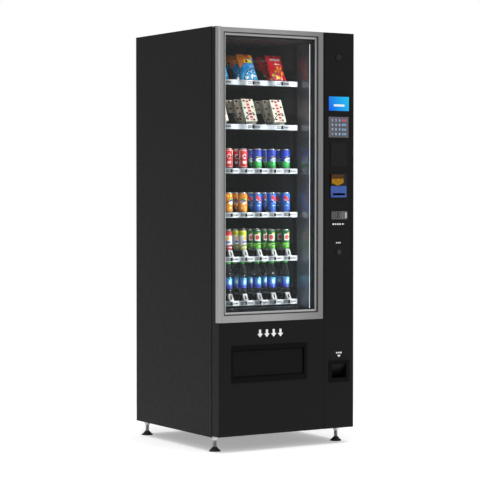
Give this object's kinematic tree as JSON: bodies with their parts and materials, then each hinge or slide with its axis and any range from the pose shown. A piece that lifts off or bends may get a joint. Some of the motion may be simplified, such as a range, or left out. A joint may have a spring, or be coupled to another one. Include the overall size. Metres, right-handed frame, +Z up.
{
  "type": "snack vending machine",
  "caption": "Free-standing glass-front vending machine with coil shelves, a control column, a delivery flap and a side-hinged door.",
  "frame": {"origin": "centre of the footprint's box, on the floor under the feet", "axes": "+Z up, -Y out of the glass front, +X to the right as seen from the front"},
  "size_m": [0.7416, 0.7926, 1.9368],
  "materials": {
    "cabinet_black": "fine-texture powder coat",
    "foot_steel": "brushed",
    "liner_black": "satin",
    "led_white": "lit diffuser",
    "tray_black": "satin",
    "strip_white": "printed price rail",
    "ramp_grey": "moulded",
    "motor_cream": "moulded",
    "coil_wire": "gloss coated wire",
    "bag_blue": "printed foil film",
    "bag_red": "printed foil film",
    "box_cream": "printed carton",
    "can_print": "printed drinks can",
    "bottle_clear": "clear bottle, printed label",
    "machine_grey": "satin",
    "fan_black": "moulded",
    "frame_silver": "satin lacquer",
    "pane_glass": "clear",
    "seal_rubber": "matte",
    "panel_black": "satin",
    "bezel_gloss": "gloss",
    "screen_blue": "lit display",
    "keypad_grey": "moulded",
    "validator_black": "semi-gloss with lit snout",
    "coin_silver": "brushed",
    "knob_black": "satin",
    "cup_black": "moulded",
    "flap_black": "semi-gloss",
    "key_blue": "backlit",
    "key_red": "backlit"
  },
  "bodies": {
    "cabinet": {"cabinet_shell": "cabinet_black", "back_panel": "cabinet_black", "feet": "foot_steel", "hinge_arms": "foot_steel", "liner": "liner_black", "led_strip": "led_white", "tray_supports": "tray_black", "trays": "tray_black", "price_strips": "strip_white", "lane_ramps": "ramp_grey", "coil_motors": "motor_cream", "coils_fixed": "coil_wire", "goods_boxes": "box_cream", "goods_cans": "can_print", "goods_bottles": "bottle_clear", "cooling_unit": "machine_grey", "control_box": "machine_grey"},
    "door": {"door_shell": "cabinet_black", "window_frame": "frame_silver", "glazing": "pane_glass", "gasket": "seal_rubber", "lower_panel": "panel_black", "control_fascia": "panel_black", "control_bezel": "bezel_gloss", "display": "screen_blue", "keypad_plate": "keypad_grey", "card_blank": "bezel_gloss", "validator": "validator_black", "coin_plate": "coin_silver", "coin_changer": "machine_grey", "coin_cup": "cup_black", "delivery_bin": "cup_black"},
    "fan": {"cooling_fan": "fan_black"},
    "coil_a": {"coil_a": "coil_wire"},
    "coil_b": {"coil_b": "coil_wire"},
    "coil_c": {"coil_c": "coil_wire"},
    "row_a": {"bags_a": "bag_blue"},
    "row_b": {"bags_b": "bag_blue"},
    "row_c": {"bags_c": "bag_red"},
    "lock_plug": {"lock": "foot_steel"},
    "vend_flap": {"delivery_flap": "flap_black"},
    "change_flap": {"coin_flap": "flap_black"},
    "return_button": {"coin_button": "coin_silver"},
    "change_button": {"change_knob": "knob_black"},
    "b_key_a1": {"key_a1": "key_blue"},
    "b_key_a2": {"key_a2": "key_blue"},
    "b_key_a3": {"key_a3": "key_blue"},
    "b_key_a4": {"key_a4": "key_red"},
    "b_key_b1": {"key_b1": "key_blue"},
    "b_key_b2": {"key_b2": "key_blue"},
    "b_key_b3": {"key_b3": "key_blue"},
    "b_key_b4": {"key_b4": "key_blue"},
    "b_key_c1": {"key_c1": "key_blue"},
    "b_key_c2": {"key_c2": "key_blue"},
    "b_key_c3": {"key_c3": "key_blue"},
    "b_key_c4": {"key_c4": "key_blue"},
    "b_key_d1": {"key_d1": "key_blue"},
    "b_key_d2": {"key_d2": "key_blue"},
    "b_key_d3": {"key_d3": "key_blue"},
    "b_key_d4": {"key_d4": "key_blue"}
  },
  "joints": [
    {"name": "door_swing", "type": "hinge", "parent": "cabinet", "child": "door", "pos_m": [-0.35685, -0.34825, 1], "axis": [0, 0, -1], "range_deg": [0, 110]},
    {"name": "vend_flap_swing", "type": "hinge", "parent": "door", "child": "vend_flap", "pos_m": [-0.10085, -0.38075, 0.459], "axis": [1, 0, 0], "range_deg": [0, 60]},
    {"name": "change_flap_swing", "type": "hinge", "parent": "door", "child": "change_flap", "pos_m": [0.28865, -0.38525, 0.376], "axis": [1, 0, 0], "range_deg": [-25, 18]},
    {"name": "lock_turn", "type": "hinge", "parent": "door", "child": "lock_plug", "pos_m": [0.28285, -0.38825, 1.8165], "axis": [0, -1, 0], "range_deg": [0, 90]},
    {"name": "return_button_press", "type": "slide", "parent": "door", "child": "return_button", "axis": [0, 1, 0], "range_m": [0, 0.003], "stiffness_N_per_m": 300, "springref_m": -0.002},
    {"name": "change_button_press", "type": "slide", "parent": "door", "child": "change_button", "axis": [0, 1, 0], "range_m": [0, 0.004], "stiffness_N_per_m": 300, "springref_m": -0.002},
    {"name": "fan_spin", "type": "hinge", "parent": "cabinet", "child": "fan", "pos_m": [0.06415, 0.25175, 0.187], "axis": [0, 1, 0], "continuous": true},
    {"name": "coil_a_turn", "type": "hinge", "parent": "cabinet", "child": "coil_a", "pos_m": [-0.22902, -0.38825, 1.7252], "axis": [0, -1, 0], "range_deg": [0, 360]},
    {"name": "row_a_advance", "type": "slide", "parent": "cabinet", "child": "row_a", "axis": [0, -1, 0], "range_m": [0, 0.0802]},
    {"name": "coil_b_turn", "type": "hinge", "parent": "cabinet", "child": "coil_b", "pos_m": [-0.06935, -0.38825, 1.7252], "axis": [0, -1, 0], "range_deg": [0, 360]},
    {"name": "row_b_advance", "type": "slide", "parent": "cabinet", "child": "row_b", "axis": [0, -1, 0], "range_m": [0, 0.0802]},
    {"name": "coil_c_turn", "type": "hinge", "parent": "cabinet", "child": "coil_c", "pos_m": [0.09032, -0.38825, 1.7252], "axis": [0, -1, 0], "range_deg": [0, 360]},
    {"name": "row_c_advance", "type": "slide", "parent": "cabinet", "child": "row_c", "axis": [0, -1, 0], "range_m": [0, 0.0802]},
    {"name": "key_a1_press", "type": "slide", "parent": "door", "child": "b_key_a1", "axis": [0, 1, 0], "range_m": [0, 0.0015], "stiffness_N_per_m": 400, "springref_m": -0.001},
    {"name": "key_a2_press", "type": "slide", "parent": "door", "child": "b_key_a2", "axis": [0, 1, 0], "range_m": [0, 0.0015], "stiffness_N_per_m": 400, "springref_m": -0.001},
    {"name": "key_a3_press", "type": "slide", "parent": "door", "child": "b_key_a3", "axis": [0, 1, 0], "range_m": [0, 0.0015], "stiffness_N_per_m": 400, "springref_m": -0.001},
    {"name": "key_a4_press", "type": "slide", "parent": "door", "child": "b_key_a4", "axis": [0, 1, 0], "range_m": [0, 0.0015], "stiffness_N_per_m": 400, "springref_m": -0.001},
    {"name": "key_b1_press", "type": "slide", "parent": "door", "child": "b_key_b1", "axis": [0, 1, 0], "range_m": [0, 0.0015], "stiffness_N_per_m": 400, "springref_m": -0.001},
    {"name": "key_b2_press", "type": "slide", "parent": "door", "child": "b_key_b2", "axis": [0, 1, 0], "range_m": [0, 0.0015], "stiffness_N_per_m": 400, "springref_m": -0.001},
    {"name": "key_b3_press", "type": "slide", "parent": "door", "child": "b_key_b3", "axis": [0, 1, 0], "range_m": [0, 0.0015], "stiffness_N_per_m": 400, "springref_m": -0.001},
    {"name": "key_b4_press", "type": "slide", "parent": "door", "child": "b_key_b4", "axis": [0, 1, 0], "range_m": [0, 0.0015], "stiffness_N_per_m": 400, "springref_m": -0.001},
    {"name": "key_c1_press", "type": "slide", "parent": "door", "child": "b_key_c1", "axis": [0, 1, 0], "range_m": [0, 0.0015], "stiffness_N_per_m": 400, "springref_m": -0.001},
    {"name": "key_c2_press", "type": "slide", "parent": "door", "child": "b_key_c2", "axis": [0, 1, 0], "range_m": [0, 0.0015], "stiffness_N_per_m": 400, "springref_m": -0.001},
    {"name": "key_c3_press", "type": "slide", "parent": "door", "child": "b_key_c3", "axis": [0, 1, 0], "range_m": [0, 0.0015], "stiffness_N_per_m": 400, "springref_m": -0.001},
    {"name": "key_c4_press", "type": "slide", "parent": "door", "child": "b_key_c4", "axis": [0, 1, 0], "range_m": [0, 0.0015], "stiffness_N_per_m": 400, "springref_m": -0.001},
    {"name": "key_d1_press", "type": "slide", "parent": "door", "child": "b_key_d1", "axis": [0, 1, 0], "range_m": [0, 0.0015], "stiffness_N_per_m": 400, "springref_m": -0.001},
    {"name": "key_d2_press", "type": "slide", "parent": "door", "child": "b_key_d2", "axis": [0, 1, 0], "range_m": [0, 0.0015], "stiffness_N_per_m": 400, "springref_m": -0.001},
    {"name": "key_d3_press", "type": "slide", "parent": "door", "child": "b_key_d3", "axis": [0, 1, 0], "range_m": [0, 0.0015], "stiffness_N_per_m": 400, "springref_m": -0.001},
    {"name": "key_d4_press", "type": "slide", "parent": "door", "child": "b_key_d4", "axis": [0, 1, 0], "range_m": [0, 0.0015], "stiffness_N_per_m": 400, "springref_m": -0.001}
  ],
  "couplings": [
    {"joint": "row_a_advance", "follows": "coil_a_turn", "m_per_rad": 0.012732},
    {"joint": "row_b_advance", "follows": "coil_b_turn", "m_per_rad": 0.012732},
    {"joint": "row_c_advance", "follows": "coil_c_turn", "m_per_rad": 0.012732}
  ]
}
